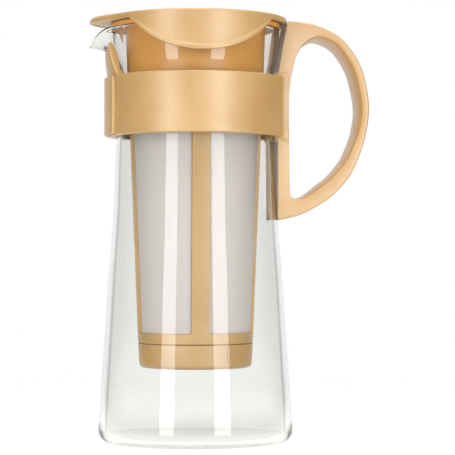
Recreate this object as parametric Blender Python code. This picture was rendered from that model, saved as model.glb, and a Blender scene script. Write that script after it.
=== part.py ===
"""Glass cold brew pot with a moulded band and loop handle, a lid, and a hanging strainer.

Metres, +Z up. The origin is on the pot's axis, at the plane it stands on.
The pouring lip points to -X and the handle to +X.
"""

import math

import bmesh
import bpy
from mathutils import Matrix, Vector

MM = 0.001

# Clearances
seat_gap = 0.3 * MM
lid_side_gap = 0.6 * MM
clasp_gap = 0.25 * MM
overrun = 2.0 * MM

# Glass pot
base_radius = 48.5 * MM
base_corner = 6.0 * MM
neck_radius = 38.3 * MM
shoulder_flare = 1.9 * MM
rim_flare = 3.8 * MM
rim_height = 205.5 * MM
neck_length = 70.5 * MM
glass_wall = 2.0 * MM
# The blown wall thickens from the shoulder down to the foot
foot_wall = 3.2 * MM
floor_wall = 3.0 * MM
body_shares = [(0.15, 0.885), (0.3, 0.715), (0.45, 0.55), (0.6, 0.4), (0.74, 0.215), (0.87, 0.07), (1.0, 0.0)]
# The neck is narrowest just above the band, and flares from there to the rim
neck_shares = [(0.24, 0.66), (0.38, 0.45), (0.52, 0.21), (0.665, 0.0)]
flare_shares = [(0.15, 0.13), (0.345, 0.49), (0.54, 0.7), (0.76, 0.85), (1.0, 1.0)]

shoulder_radius = neck_radius + shoulder_flare
shoulder_height = rim_height - neck_length
rim_radius = neck_radius + rim_flare
# Where the rim's rounding starts
rim_edge = rim_height - glass_wall / 2

# Pouring lip, drawn out of the glass at -X
lip_length = 19.5 * MM
lip_reach = 10.4 * MM
lip_drop = 8.5 * MM
lip_half_angle = math.radians(25)
lip_rows = 6

lip_start = rim_height - lip_length

# Neck band
band_drop = 24.0 * MM
band_depth = 29.7 * MM
band_thickness = 5.7 * MM
band_hollow = 0.4 * MM
band_edge = 0.8 * MM
band_slit = 0.6 * MM

band_radius = neck_radius + band_thickness
band_high = rim_height - band_drop
band_low = band_high - band_depth

# Cradle of the band, which rises under the lip in two horns
cradle_rise = 17.5 * MM
cradle_base_angle = math.radians(25.5)
cradle_horn_angle = math.radians(12.75)
cradle_swell = 1.2 * MM
cradle_edge = 0.9 * MM
cradle_wall = 2.6 * MM
cradle_step = 2.5 * MM

cradle_high = band_high + cradle_rise

# Loop handle, moulded with the band
handle_overhang = 42.5 * MM
handle_rise = 4.5 * MM
handle_length = 101.0 * MM
handle_width = 26.0 * MM
handle_corner = 0.9 * MM
handle_crown = 0.5 * MM
handle_sink = 0.3 * MM
grip_thickness = 6.0 * MM
grip_crown = 2.9 * MM
top_arm = 9.8 * MM
low_arm = 11.6 * MM
bar_proud = 2.1 * MM
bar_crown = 0.8 * MM
bar_stand_off = 3.7 * MM
root_fillet = 2.2 * MM
side_fillet = 2.8 * MM

handle_reach = band_radius + handle_overhang
handle_high = rim_height + handle_rise
handle_low = handle_high - handle_length
handle_root = neck_radius - handle_sink
hole_near = band_radius + bar_proud
hole_far = handle_reach - grip_thickness
hole_high = handle_high - top_arm
hole_low = handle_low + low_arm
bar_radius = neck_radius + bar_stand_off

# Clasp plate that slides up over the band's two ends and holds them together
clasp_width = 33.6 * MM
clasp_proud = 1.6 * MM
clasp_sink = 0.4 * MM
clasp_leg_depth = 1.9 * MM
clasp_leg_width = 2.2 * MM
clasp_step = 0.5 * MM
clasp_bevel = 0.5 * MM

clasp_radius = band_radius + clasp_proud
clasp_inner = band_radius - clasp_sink
clasp_leg_inner = clasp_inner - clasp_leg_depth
clasp_low = band_low + clasp_step

# Strainer frame
flange_thickness = 2.2 * MM
flange_overhang = 0.5 * MM
neck_space = 1.3 * MM
frame_taper = 6.35 * MM
frame_low = 49.2 * MM
frame_wall = 2.6 * MM
frame_rib = 8.5 * MM
window_margin = 5.1 * MM
collar_depth = 48.0 * MM
window_corner = 1.1 * MM
ring_shoulder = 2.4 * MM
mesh_thickness = 0.6 * MM

flange_radius = rim_radius + flange_overhang
flange_low = rim_height + seat_gap
frame_high = flange_low + flange_thickness
frame_top_radius = neck_radius - glass_wall - neck_space
frame_low_radius = frame_top_radius - frame_taper
window_low = frame_low + window_margin
window_high = frame_high - collar_depth

# Bayonet between the frame's neck and the bottom cap
bayonet_depth = 8.2 * MM
bayonet_wall = 1.8 * MM
bayonet_turn = math.radians(40)
bayonet_count = 4
lug_width = 6.5 * MM
lug_height = 1.8 * MM
lug_rise = 2.8 * MM
lug_reach = 1.9 * MM

# Bottom cap of the strainer
cap_height = 12.2 * MM
cap_taper = 0.6 * MM
cap_wall = 2.0 * MM
cap_floor = 1.8 * MM
cap_edge = 2.2 * MM
cap_rib_count = 4
cap_rib_width = 1.6 * MM
cap_rib_proud = 0.5 * MM
cap_rib_rise = 3.1 * MM
cap_rib_turn = math.radians(29)

cap_low = frame_low - cap_height
cap_low_radius = frame_low_radius - cap_taper
cap_rib_low = cap_low + cap_rib_rise

# Lid
lid_overhang = 3.6 * MM
lid_thickness = 2.6 * MM
lid_crown = 0.4 * MM
lid_edge = 1.0 * MM
lid_skirt = 1.8 * MM
lid_rim_drop = 0.4 * MM
beak_reach = 7.2 * MM
beak_half_angle = math.radians(34)
beak_round = 1.2 * MM
lobe_depth = 17.1 * MM
lobe_half_angle = math.radians(50)
lobe_dish = 0.6 * MM
lobe_lip = 0.8 * MM
lobe_lip_height = 2.8 * MM
lid_ring_wall = 1.6 * MM
lid_ring_depth = 8.0 * MM
lid_recess = 0.2 * MM

lid_radius = rim_radius + lid_overhang
lid_under = frame_high + seat_gap
lid_high = lid_under + lid_thickness
lid_rim_low = lid_under - lid_rim_drop
lobe_low = lid_under - lobe_depth

# Facets
fine_count = 6
coarse_count = 30
turned_steps = 42


def clear_scene():
    for item in list(bpy.data.objects):
        bpy.data.objects.remove(item)


def finish_material(name, colour, roughness, alpha=1.0, transmission=0.0):
    material = bpy.data.materials.new(name)
    material.use_nodes = True
    shader = material.node_tree.nodes["Principled BSDF"]
    shader.inputs["Base Color"].default_value = (*colour, 1.0)
    shader.inputs["Roughness"].default_value = roughness
    shader.inputs["Metallic"].default_value = 0.0
    shader.inputs["Alpha"].default_value = alpha
    shader.inputs["Transmission Weight"].default_value = transmission
    return material


def object_from(name, bm, material=None, smooth_angle=math.radians(32)):
    bmesh.ops.remove_doubles(bm, verts=bm.verts, dist=1e-7)
    bmesh.ops.dissolve_degenerate(bm, edges=bm.edges, dist=1e-7)
    bmesh.ops.recalc_face_normals(bm, faces=bm.faces)
    mesh = bpy.data.meshes.new(name)
    bm.to_mesh(mesh)
    bm.free()
    mesh.shade_smooth()
    mesh.set_sharp_from_angle(angle=smooth_angle)
    if material:
        mesh.materials.append(material)
    item = bpy.data.objects.new(name, mesh)
    bpy.context.collection.objects.link(item)
    return item


def hide_tool(item):
    item.hide_render = True
    item.display_type = "WIRE"
    return item


def combine(item, tool, operation):
    modifier = item.modifiers.new(operation.lower(), "BOOLEAN")
    modifier.operation = operation
    modifier.solver = "EXACT"
    modifier.object = hide_tool(tool)


def add_loft(bm, sections, closed):
    """Joins closed sections of equal length, end to end or round in a loop."""
    rings = [[bm.verts.new(point) for point in section] for section in sections]
    pairs = list(zip(rings, rings[1:]))
    if closed:
        pairs.append((rings[-1], rings[0]))
    count = len(rings[0])
    for first, second in pairs:
        for index in range(count):
            after = (index + 1) % count
            bm.faces.new((first[index], first[after], second[after], second[index]))
    if not closed:
        bm.faces.new(rings[0])
        bm.faces.new(list(reversed(rings[-1])))


def add_sector(bm, inner, outer, low, high, start, end, steps):
    """A curved block between two radii, two heights and two angles."""
    sections = []
    for index in range(steps + 1):
        angle = start + (end - start) * index / steps
        corners = ((inner, low), (outer, low), (outer, high), (inner, high))
        sections.append([at_angle(radius, angle, height) for radius, height in corners])
    add_loft(bm, sections, closed=False)


def turned(name, outline, material=None, steps=turned_steps):
    """Spins a closed outline of (radius, height) points about the pot's axis."""
    bm = bmesh.new()
    verts = [bm.verts.new((radius, 0, height)) for radius, height in outline]
    edges = [bm.edges.new((a, b)) for a, b in zip(verts, verts[1:] + verts[:1])]
    bmesh.ops.spin(bm, geom=verts + edges, cent=(0, 0, 0), axis=(0, 0, 1),
                   angle=math.tau, steps=steps, use_merge=True)
    return object_from(name, bm, material)


def at_angle(radius, angle, height):
    return Vector((radius * math.cos(angle), radius * math.sin(angle), height))


def blend(low, high, share):
    return low + (high - low) * share


def smooth_curve(points, steps):
    """Points along a curve that passes through all of the given ones."""
    result = []
    for index in range(len(points) - 1):
        before = points[max(index - 1, 0)]
        first = points[index]
        second = points[index + 1]
        after = points[min(index + 2, len(points) - 1)]
        for step in range(steps):
            t = step / steps
            leave = (second - before) / 2
            arrive = (after - first) / 2
            result.append(first * (2 * t**3 - 3 * t**2 + 1) + leave * (t**3 - 2 * t**2 + t)
                          + second * (3 * t**2 - 2 * t**3) + arrive * (t**3 - t**2))
    return result


def ring_angles():
    """Angles about +Z, starting at the lip, with finer steps across it."""
    fine_step = cradle_base_angle / fine_count
    edge = cradle_base_angle + fine_step
    angles = [index * fine_step for index in range(fine_count + 2)]
    angles += [blend(edge, math.tau - edge, index / coarse_count) for index in range(1, coarse_count)]
    angles += [math.tau - index * fine_step for index in range(fine_count + 1, 0, -1)]
    return angles


def from_lip(turn):
    """Smallest angle between a direction and the lip's."""
    return min(turn % math.tau, math.tau - turn % math.tau)


def lip_share(turn):
    offset = from_lip(turn) / lip_half_angle
    return math.cos(offset * math.pi / 2) ** 2 if offset < 1 else 0.0


def glass_outline():
    """Outer outline of the pot, from the foot to the rim, before the lip is drawn."""
    points = []
    for share in (0.0, 0.25, 0.5, 0.75, 1.0):
        angle = share * math.pi / 2
        radius = base_radius - base_corner + base_corner * math.sin(angle)
        points.append(Vector((radius, base_corner - base_corner * math.cos(angle))))
    for rise, flare in body_shares:
        points.append(Vector((blend(shoulder_radius, base_radius, flare), shoulder_height * rise)))
    for rise, waist in neck_shares:
        points.append(Vector((blend(neck_radius, shoulder_radius, waist),
                              blend(shoulder_height, rim_edge, rise))))
    flare_start = points[-1].y
    for rise, flare in flare_shares:
        points.append(Vector((blend(neck_radius, rim_radius, flare), blend(flare_start, rim_edge, rise))))
    return points


def outline_radius(height):
    """Outer radius of the undrawn pot at a height."""
    points = glass_outline()
    for low, high in zip(points, points[1:]):
        if low.y <= height <= high.y:
            return blend(low.x, high.x, (height - low.y) / (high.y - low.y))
    return points[-1].x


def drawn_point(height, turn):
    """Radius and height of the glass at a turn from the lip, with the lip drawn out."""
    radius = outline_radius(height)
    share = max(0.0, (height - lip_start) / (rim_edge - lip_start)) ** 2
    pull = lip_share(turn)
    return Vector((radius + lip_reach * pull * share, height - lip_drop * pull**3 * share))


def drawn_radius(height, turn):
    """Radius of the drawn glass at a real height, found by halving."""
    low, high = height, rim_edge
    for _ in range(24):
        middle = (low + high) / 2
        if drawn_point(middle, turn).y < height:
            low = middle
        else:
            high = middle
    return drawn_point(low, turn).x


def glass_heights():
    heights = [point.y for point in glass_outline() if point.y < lip_start]
    heights += [blend(lip_start, rim_edge, index / lip_rows) for index in range(lip_rows + 1)]
    return heights


def glass_carafe(material):
    heights = glass_heights()
    sections = []
    for turn in ring_angles():
        outer = [drawn_point(height, turn) for height in heights]
        outer[0] = Vector((outer[0].x, 0))
        inner = []
        for index, point in enumerate(outer):
            before = outer[max(index - 1, 0)]
            after = outer[min(index + 1, len(outer) - 1)]
            along = (after - before).normalized()
            if index == 0:
                along = Vector((1, 0))
            wall = blend(foot_wall, glass_wall, min(1.0, heights[index] / shoulder_height))
            if heights[index] < base_corner:
                wall = floor_wall
            inner.append(point + wall * Vector((-along.y, along.x)))
        rim = []
        centre = (outer[-1] + inner[-1]) / 2
        along = (outer[-1] - outer[-2]).normalized()
        across = outer[-1] - centre
        for angle in (math.pi / 4, math.pi / 2, 3 * math.pi / 4):
            rim.append(centre + across * math.cos(angle) + along * glass_wall / 2 * math.sin(angle))
        outline = outer + rim + list(reversed(inner))
        outline = [Vector((0, 0))] + outline + [Vector((0, floor_wall))]
        sections.append([at_angle(point.x, math.pi + turn, point.y) for point in outline])
    bm = bmesh.new()
    rings = [[bm.verts.new(point) for point in section] for section in sections]
    for first, second in zip(rings, rings[1:] + rings[:1]):
        for index in range(len(first) - 1):
            bm.faces.new((first[index], first[index + 1], second[index + 1], second[index]))
    return object_from("glass_carafe", bm, material)


def cradle_top(turn):
    """Height of the band's upper edge, which rises in horns on both sides of the lip."""
    away = from_lip(turn)
    if away >= cradle_base_angle:
        return band_high
    share = min(1.0, (cradle_base_angle - away) / (cradle_base_angle - cradle_horn_angle))
    edge = blend(band_high, cradle_high, share**1.3)
    while edge > band_high and drawn_radius(edge, turn) + seat_gap + cradle_edge > band_outer(edge, turn):
        edge -= seat_gap
    return edge


def handle_fillet(turn, size):
    """How far a fillet of this size has risen where the band runs into the handle's sides."""
    from_handle = math.pi - from_lip(turn)
    side = band_radius * math.sin(min(from_handle, math.pi / 2)) - handle_width / 2
    share = 1 - min(1.0, max(0.0, side / size))
    return size * (1 - math.sqrt(1 - share**2))


def band_outer(height, turn):
    """Outer radius of the hollowed band, of the swelling cradle and of the fillets at the handle."""
    if height > band_high and from_lip(turn) < cradle_base_angle:
        share = (height - band_high) / (cradle_high - band_high)
        return band_radius + cradle_swell * math.sin(math.pi * min(share * 0.8, 1.0))
    share = min(1.0, max(0.0, (height - band_low) / (band_high - band_low)))
    radius = band_radius - band_hollow * math.sin(math.pi * share) + handle_fillet(turn, side_fillet)
    from_handle = math.pi - from_lip(turn)
    if from_handle < math.pi / 4:
        radius = min(radius, (hole_near - bar_crown - seat_gap) / math.cos(from_handle))
    return radius


def band_inner(height, turn):
    """Inner radius of the band, which hugs the glass and stands off it above and below."""
    snug = drawn_radius(height, turn) + seat_gap
    beyond = max(height - band_high, band_low - height, 0.0)
    free = band_radius - cradle_wall
    return max(snug, blend(snug, free, min(1.0, beyond / cradle_step)))


def band_ring():
    """The open band with its cradle, as one section for each angle."""
    slit_turn = band_slit / 2 / band_radius
    turns = [slit_turn] + ring_angles()[1:] + [math.tau - slit_turn]
    extra = math.asin(handle_width / 2 / band_radius)
    fillet = max(root_fillet, side_fillet) / band_radius
    for side in (-1, 1):
        turns += [math.pi + side * (extra + fillet * share) for share in (0.0, 0.2, 0.45, 0.7, 1.0)]
    sections = []
    for turn in sorted(turns):
        flare = handle_fillet(turn, root_fillet)
        low = band_low - flare
        high = cradle_top(turn) + flare
        heights = [blend(low + seat_gap, band_low + cradle_step, share) for share in (0.0, 0.5, 1.0)]
        heights.append((band_low + band_high) / 2)
        heights += [blend(band_high - cradle_step, high - seat_gap, share) for share in (0.0, 0.3, 0.6, 1.0)]
        outline = [(band_inner(height, turn), height) for height in heights]
        outline.append((outline[-1][0] + seat_gap, high))
        outer_top = band_outer(high - band_edge, turn)
        outline.append((max(outer_top - band_edge, outline[-1][0] + seat_gap), high))
        for share in (1.0, 0.75, 0.5, 0.25, 0.0):
            height = blend(low + band_edge, high - band_edge, share)
            outline.append((band_outer(height, turn), height))
        outline.append((band_outer(low, turn) - band_edge, low))
        outline.append((outline[0][0] + seat_gap, low))
        sections.append([at_angle(radius, math.pi + turn, height) for radius, height in outline])
    bm = bmesh.new()
    add_loft(bm, sections, closed=False)
    return object_from("band_ring", bm)


# Outer edge and finger hole of the handle, in matching pairs from its top root to its
# bottom root and back up along the bar: shares of the handle's and the hole's own boxes
handle_shares = [(0.0, 1.0), (0.264, 0.995), (0.47, 0.975), (0.676, 0.926), (0.814, 0.856),
                 (0.936, 0.745), (0.998, 0.577), (0.961, 0.427), (0.87, 0.298), (0.781, 0.215),
                 (0.627, 0.131), (0.47, 0.076), (0.264, 0.027), (0.0, 0.0), (0.0, 0.15), (0.0, 0.37),
                 (0.0, 0.62), (0.0, 0.82)]
hole_shares = [(0.151, 0.932), (0.247, 0.976), (0.404, 1.0), (0.602, 0.971), (0.747, 0.913),
               (0.904, 0.79), (1.0, 0.595), (0.974, 0.451), (0.895, 0.338), (0.791, 0.247),
               (0.613, 0.153), (0.433, 0.088), (0.215, 0.016), (0.061, 0.004), (0.009, 0.05),
               (0.0, 0.33), (0.0, 0.646), (0.065, 0.84)]
bar_pairs = 4


def handle_stations():
    """Matching points of the outer edge and of the hole, with how far round the grip each is."""
    outer = [Vector((blend(handle_root, handle_reach, x), blend(handle_low, handle_high, z)))
             for x, z in handle_shares]
    hole = [Vector((blend(hole_near, hole_far, x), blend(hole_low, hole_high, z))) for x, z in hole_shares]
    arc = len(outer) - bar_pairs
    steps = 3
    outer_line = smooth_curve(outer[:arc], steps)
    for first, second in zip(outer[arc - 1:], outer[arc:] + outer[:1]):
        outer_line += [first.lerp(second, step / steps) for step in range(steps)]
    hole_line = smooth_curve([hole[-1]] + hole + hole[:2], steps)[steps:-steps]
    return list(zip(outer_line, hole_line)), (arc - 1) * steps


def handle_loop():
    """The grip and its bar as one closed loft, flat outside and rounded towards the fingers."""
    stations, arc_end = handle_stations()
    half = handle_width / 2
    sections = []
    for index, (outer, hole) in enumerate(stations):
        inward = (hole - outer).normalized()
        depth = (hole - outer).length
        on_grip = math.sin(math.pi * min(index / arc_end, 1.0))
        crown = min(blend(bar_crown, grip_crown, min(1.0, on_grip * 2)), depth / 2)
        side = depth - crown
        section = []
        for share in (-0.55, 0.0, 0.55):
            section.append((handle_crown * share**2, share * half))
        section.append((handle_crown, half - handle_corner))
        section.append((handle_crown + handle_corner, half))
        section.append((side - handle_corner / 2, half))
        for angle in (0.12, 0.3, 0.5, 0.7, 0.88):
            turn = angle * math.pi
            section.append((side + crown * math.sin(turn) ** 0.8, half * math.cos(turn)))
        section.append((side - handle_corner / 2, -half))
        section.append((handle_crown + handle_corner, -half))
        section.append((handle_crown, -half + handle_corner))
        points = []
        for depth_in, across in section:
            place = outer + inward * depth_in
            points.append(Vector((place.x, across, place.y)))
        sections.append(points)
    bm = bmesh.new()
    add_loft(bm, sections, closed=True)
    return bm


def handle_band(material):
    item = object_from("handle_band", handle_loop(), material)
    lid_space = lid_radius + lid_side_gap
    pot_side = [(0, handle_low - overrun), (bar_radius, handle_low - overrun), (bar_radius, band_high),
                (lid_space, lid_rim_low), (lid_space, handle_high + 2 * overrun),
                (0, handle_high + 2 * overrun)]
    combine(item, turned("pot_space", pot_side, steps=2 * turned_steps), "DIFFERENCE")
    combine(item, band_ring(), "UNION")
    combine(item, clasp_channel(), "DIFFERENCE")
    return item


def clasp_outline(grow, outer):
    """Cross-section of the clasp plate with its two legs, grown by a clearance."""
    half = math.asin(clasp_width / 2 / clasp_radius) + grow / clasp_radius
    leg = (clasp_leg_width + 2 * grow) / clasp_inner
    inner = clasp_inner - grow
    tip = clasp_leg_inner - grow
    steps = 10
    points = [(outer, blend(-half, half, index / steps)) for index in range(steps + 1)]
    points += [(tip, half), (tip, half - leg)]
    points += [(inner, blend(half - leg, leg - half, index / steps)) for index in range(steps + 1)]
    points += [(tip, leg - half), (tip, -half)]
    return [at_angle(radius, math.pi + angle, 0) for radius, angle in points]


def clasp_block(name, outline, low, high, material=None):
    bm = bmesh.new()
    face = bm.faces.new([bm.verts.new(point + Vector((0, 0, low))) for point in outline])
    raised = bmesh.ops.extrude_face_region(bm, geom=[face])
    top = [part for part in raised["geom"] if isinstance(part, bmesh.types.BMVert)]
    bmesh.ops.translate(bm, verts=top, vec=(0, 0, high - low))
    return object_from(name, bm, material)


def clasp_channel():
    outline = clasp_outline(clasp_gap, clasp_radius + overrun)
    return clasp_block("clasp_channel", outline, band_low - root_fillet, band_high - seat_gap)


def band_clasp(material):
    outline = clasp_outline(0, clasp_radius)
    item = clasp_block("band_clasp", outline, clasp_low, band_high - 2 * seat_gap, material)
    bevel = item.modifiers.new("soft_edges", "BEVEL")
    bevel.width = clasp_bevel
    bevel.segments = 2
    bevel.limit_method = "ANGLE"
    bevel.angle_limit = math.radians(40)
    return item


def lid_reach(turn):
    offset = from_lip(turn) / beak_half_angle
    pull = math.cos(offset * math.pi / 2) ** 2 if offset < 1 else 0.0
    return lid_radius + beak_reach * pull


def lobe_edge(turn):
    """Height of the lid's lower edge, which hangs in a lobe on each side."""
    side = abs(abs(from_lip(turn)) - math.pi / 2) / lobe_half_angle
    share = 1 - side**2.15 if side < 1 else 0.0
    return blend(lid_rim_low, lobe_low, share)


def lid(material):
    ring_outer = frame_radius(lid_under - lid_ring_depth) - frame_wall - seat_gap
    sections = []
    for turn in ring_angles():
        reach = lid_reach(turn)
        bottom = lobe_edge(turn)
        edge = lid_edge + beak_round * (reach - lid_radius) / beak_reach
        drop = lid_high - edge - bottom
        dish = lobe_dish * (lid_rim_low - bottom) / (lid_rim_low - lobe_low)
        flare = lobe_lip * (lid_rim_low - bottom) / (lid_rim_low - lobe_low)
        outline = [(0, lid_high + lid_crown)]
        for share in (0.4, 0.75):
            outline.append((lid_radius * share, lid_high + lid_crown * (1 - share**2)))
        for angle in (0.0, 0.4, 0.7, 1.0):
            turned_by = angle * math.pi / 2
            outline.append((reach - edge + edge * math.sin(turned_by),
                            lid_high - edge + edge * math.cos(turned_by)))
        lip_high = min(bottom + lobe_lip_height, lid_high - edge - drop * 0.4)
        for share in (0.35, 0.7, 1.0):
            height = blend(lid_high - edge, lip_high, share)
            outline.append((reach - dish * math.sin(share * math.pi / 2), height))
        outline.append((reach - dish + flare, blend(lip_high, bottom, 0.55)))
        outline.append((reach - dish + flare, bottom + seat_gap))
        outline.append((reach - dish + flare - seat_gap, bottom))
        outline.append((reach - dish - lid_skirt + seat_gap, bottom))
        outline.append((reach - dish - lid_skirt, bottom + seat_gap))
        outline.append((reach - lid_skirt, lid_under))
        outline.append((ring_outer, lid_under))
        outline.append((ring_outer, lid_under - lid_ring_depth))
        outline.append((ring_outer - lid_ring_wall, lid_under - lid_ring_depth))
        outline.append((ring_outer - lid_ring_wall, lid_under + lid_recess))
        outline.append((0, lid_under + lid_recess))
        sections.append([at_angle(radius, math.pi + turn, height) for radius, height in outline])
    bm = bmesh.new()
    rings = [[bm.verts.new(point) for point in section] for section in sections]
    for first, second in zip(rings, rings[1:] + rings[:1]):
        for index in range(len(first) - 1):
            bm.faces.new((first[index], first[index + 1], second[index + 1], second[index]))
    return object_from("lid", bm, material)


def frame_radius(height):
    """Outer radius of the strainer's cone."""
    return blend(frame_low_radius, frame_top_radius, (height - frame_low) / (frame_high - frame_low))


def cap_inner_radius():
    return frame_low_radius - cap_wall


def bayonet_radius():
    return cap_inner_radius() - seat_gap


def bayonet_low():
    return frame_low - bayonet_depth


def lug_span():
    return lug_width / cap_inner_radius()


def lug_low():
    return bayonet_low() + lug_rise


def strainer_frame(material):
    neck = bayonet_radius()
    neck_inner = neck - bayonet_wall
    shoulder_high = frame_low + ring_shoulder
    outline = [(flange_radius - seat_gap, frame_high), (flange_radius, frame_high - seat_gap),
               (flange_radius, flange_low + seat_gap), (flange_radius - seat_gap, flange_low),
               (frame_radius(flange_low), flange_low), (frame_radius(frame_low), frame_low),
               (neck, frame_low), (neck, bayonet_low()), (neck_inner, bayonet_low()),
               (neck_inner, shoulder_high),
               (frame_radius(window_low) - frame_wall, window_low),
               (frame_top_radius - frame_wall, frame_high)]
    item = turned("strainer_frame", outline, material)
    combine(item, window_tool(), "DIFFERENCE")
    combine(item, bayonet_run_tool(), "DIFFERENCE")
    combine(item, bayonet_entry_tool(), "DIFFERENCE")
    return item


def window_tool():
    """Four blocks, one between each two ribs, with rounded window corners."""
    near = frame_rib / 2
    far = frame_top_radius + overrun
    bm = bmesh.new()
    for quarter in range(4):
        block = bmesh.ops.create_cube(bm, size=1.0)["verts"]
        for vert in block:
            vert.co = Vector((near if vert.co.x < 0 else far, near if vert.co.y < 0 else far,
                              window_low if vert.co.z < 0 else window_high))
        edges = {edge for vert in block for edge in vert.link_edges}
        level = [edge for edge in edges if abs(edge.verts[0].co.z - edge.verts[1].co.z) < overrun]
        near_edges = [edge for edge in level
                      if all(abs(v.co.x - near) < MM for v in edge.verts)
                      or all(abs(v.co.y - near) < MM for v in edge.verts)]
        beveled = bmesh.ops.bevel(bm, geom=near_edges, affect="EDGES", offset=window_corner,
                                  segments=3, profile=0.5, material=-1)
        verts = set(beveled["verts"]) | {vert for vert in block if vert.is_valid}
        faces = {face for vert in verts for face in vert.link_faces}
        turn_verts = list({vert for face in faces for vert in face.verts})
        bmesh.ops.rotate(bm, verts=turn_verts, cent=(0, 0, 0),
                         matrix=Matrix.Rotation(quarter * math.pi / 2, 3, "Z"))
    return object_from("window_tool", bm)


def bayonet_starts():
    return [index * math.tau / bayonet_count for index in range(bayonet_count)]


def bayonet_run_tool():
    slack = seat_gap / cap_inner_radius()
    low = lug_low() - seat_gap
    high = lug_low() + lug_height + seat_gap
    bm = bmesh.new()
    for start in bayonet_starts():
        add_sector(bm, bayonet_radius() - bayonet_wall - overrun, bayonet_radius() + overrun, low, high,
                   start - slack, start + lug_span() + bayonet_turn + slack, 8)
    return object_from("bayonet_run_tool", bm)


def bayonet_entry_tool():
    slack = seat_gap / cap_inner_radius()
    low = bayonet_low() - overrun
    high = lug_low() + lug_height / 2
    bm = bmesh.new()
    for start in bayonet_starts():
        add_sector(bm, bayonet_radius() - bayonet_wall - overrun, bayonet_radius() + overrun, low, high,
                   start + bayonet_turn - slack, start + lug_span() + bayonet_turn + slack, 3)
    return object_from("bayonet_entry_tool", bm)


def mesh_panel(index, material):
    """A thin cone-shaped pane of mesh that fills one window, flush with the frame's inside."""
    low = window_low + seat_gap
    high = window_high - seat_gap
    rows = 3
    columns = 9
    bm = bmesh.new()
    grids = []
    for offset in (0, mesh_thickness):
        grid = []
        for row in range(rows + 1):
            height = blend(low, high, row / rows)
            radius = frame_radius(height) - frame_wall + offset
            margin = math.asin((frame_rib / 2 + seat_gap) / (frame_radius(height) - frame_wall))
            line = []
            for column in range(columns + 1):
                angle = blend(margin, math.pi / 2 - margin, column / columns) + index * math.pi / 2
                line.append(at_angle(radius, angle, height))
            grid.append(line)
        grids.append(grid)
    inner, outer = grids
    sections = [inner[row] + list(reversed(outer[row])) for row in range(rows + 1)]
    add_loft(bm, sections, closed=False)
    return object_from(f"mesh_panel_{index + 1}", bm, material)


def strainer_cap(material):
    high = frame_low - seat_gap
    inner = cap_inner_radius()
    outline = [(0, cap_low)]
    for share in (0.0, 0.34, 0.67, 1.0):
        angle = share * math.pi / 2
        outline.append((cap_low_radius - cap_edge + cap_edge * math.sin(angle),
                        cap_low + cap_edge - cap_edge * math.cos(angle)))
    outline += [(frame_low_radius, high - seat_gap), (frame_low_radius - seat_gap, high),
                (inner, high), (inner, cap_low + cap_floor + cap_edge / 2),
                (inner - cap_edge / 2, cap_low + cap_floor), (0, cap_low + cap_floor)]
    bm = bmesh.new()
    verts = [bm.verts.new((radius, 0, height)) for radius, height in outline]
    edges = [bm.edges.new((a, b)) for a, b in zip(verts, verts[1:])]
    bmesh.ops.spin(bm, geom=verts + edges, cent=(0, 0, 0), axis=(0, 0, 1),
                   angle=math.tau, steps=turned_steps, use_merge=True)
    item = object_from("strainer_cap", bm, material)
    combine(item, lug_tool(), "UNION")
    combine(item, grip_rib_tool(), "UNION")
    return item


def lug_tool():
    inner = cap_inner_radius()
    bm = bmesh.new()
    for start in bayonet_starts():
        add_sector(bm, inner - lug_reach, inner + cap_wall / 2, lug_low(), lug_low() + lug_height,
                   start, start + lug_span(), 3)
    return object_from("lug_tool", bm)


def grip_rib_tool():
    bm = bmesh.new()
    for index in range(cap_rib_count):
        middle = index * math.tau / cap_rib_count - math.pi / 2 + cap_rib_turn
        half = cap_rib_width / 2 / frame_low_radius
        add_sector(bm, cap_low_radius - cap_wall / 2, frame_low_radius + cap_rib_proud, cap_rib_low,
                   frame_low - 3 * seat_gap, middle - half, middle + half, 2)
    return object_from("grip_rib_tool", bm)


def build():
    clear_scene()
    glass = finish_material("borosilicate glass", (0.9, 0.93, 0.92), 0.03, 0.35, 0.9)
    plastic = finish_material("tan polypropylene", (0.78, 0.52, 0.27), 0.42)
    mesh_cloth = finish_material("polyester mesh", (0.62, 0.59, 0.58), 0.7)
    glass_carafe(glass)
    handle_band(plastic)
    band_clasp(plastic)
    lid(plastic)
    strainer_frame(plastic)
    for index in range(4):
        mesh_panel(index, mesh_cloth)
    strainer_cap(plastic)


build()
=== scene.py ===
import math

import bmesh
import bpy
from mathutils import Matrix, Vector


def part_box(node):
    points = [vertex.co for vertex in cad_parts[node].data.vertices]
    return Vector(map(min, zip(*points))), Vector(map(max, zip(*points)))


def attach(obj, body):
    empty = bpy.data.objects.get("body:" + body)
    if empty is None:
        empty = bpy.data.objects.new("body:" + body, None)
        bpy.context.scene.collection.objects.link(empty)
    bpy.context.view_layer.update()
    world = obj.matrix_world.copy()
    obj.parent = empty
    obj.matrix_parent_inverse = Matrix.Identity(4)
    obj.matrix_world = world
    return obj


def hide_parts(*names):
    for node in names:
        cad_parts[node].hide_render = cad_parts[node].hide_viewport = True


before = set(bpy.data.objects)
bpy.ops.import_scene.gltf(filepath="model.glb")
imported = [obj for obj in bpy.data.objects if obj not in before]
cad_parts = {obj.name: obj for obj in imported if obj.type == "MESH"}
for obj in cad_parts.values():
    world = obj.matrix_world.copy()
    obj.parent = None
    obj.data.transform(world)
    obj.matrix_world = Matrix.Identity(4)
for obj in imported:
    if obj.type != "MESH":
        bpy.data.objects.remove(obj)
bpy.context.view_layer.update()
print("stage: frame loaded")

mm = 0.001
weldDistance = 0.002 * mm
cutOverrun = 2.0 * mm

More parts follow.
